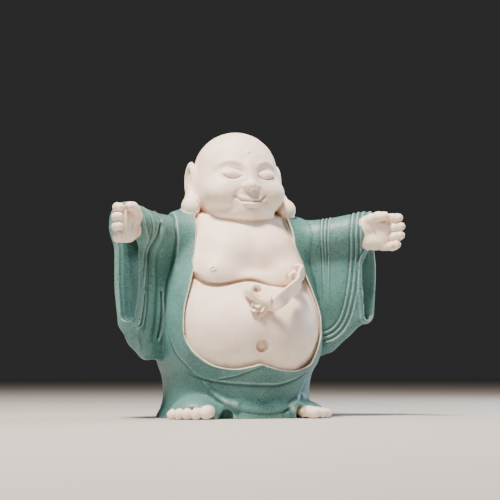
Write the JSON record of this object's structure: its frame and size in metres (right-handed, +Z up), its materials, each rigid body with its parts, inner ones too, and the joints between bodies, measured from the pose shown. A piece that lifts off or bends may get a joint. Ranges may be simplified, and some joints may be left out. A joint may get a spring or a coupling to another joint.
{
  "type": "budai figure",
  "caption": "Standing bald laughing-buddha type figure in porcelain, arms held out, open glazed robe with hanging sleeves over a bare belly.",
  "frame": {"origin": "on the surface it stands on, under the axis of the body", "axes": "+Z up, the figure faces -Y, +X to the viewer's right"},
  "size_m": [0.2967, 0.1615, 0.2841],
  "materials": {
    "porcelain": "satin"
  },
  "bodies": {
    "root": {"budai_figure": "porcelain"}
  },
  "joints": []
}
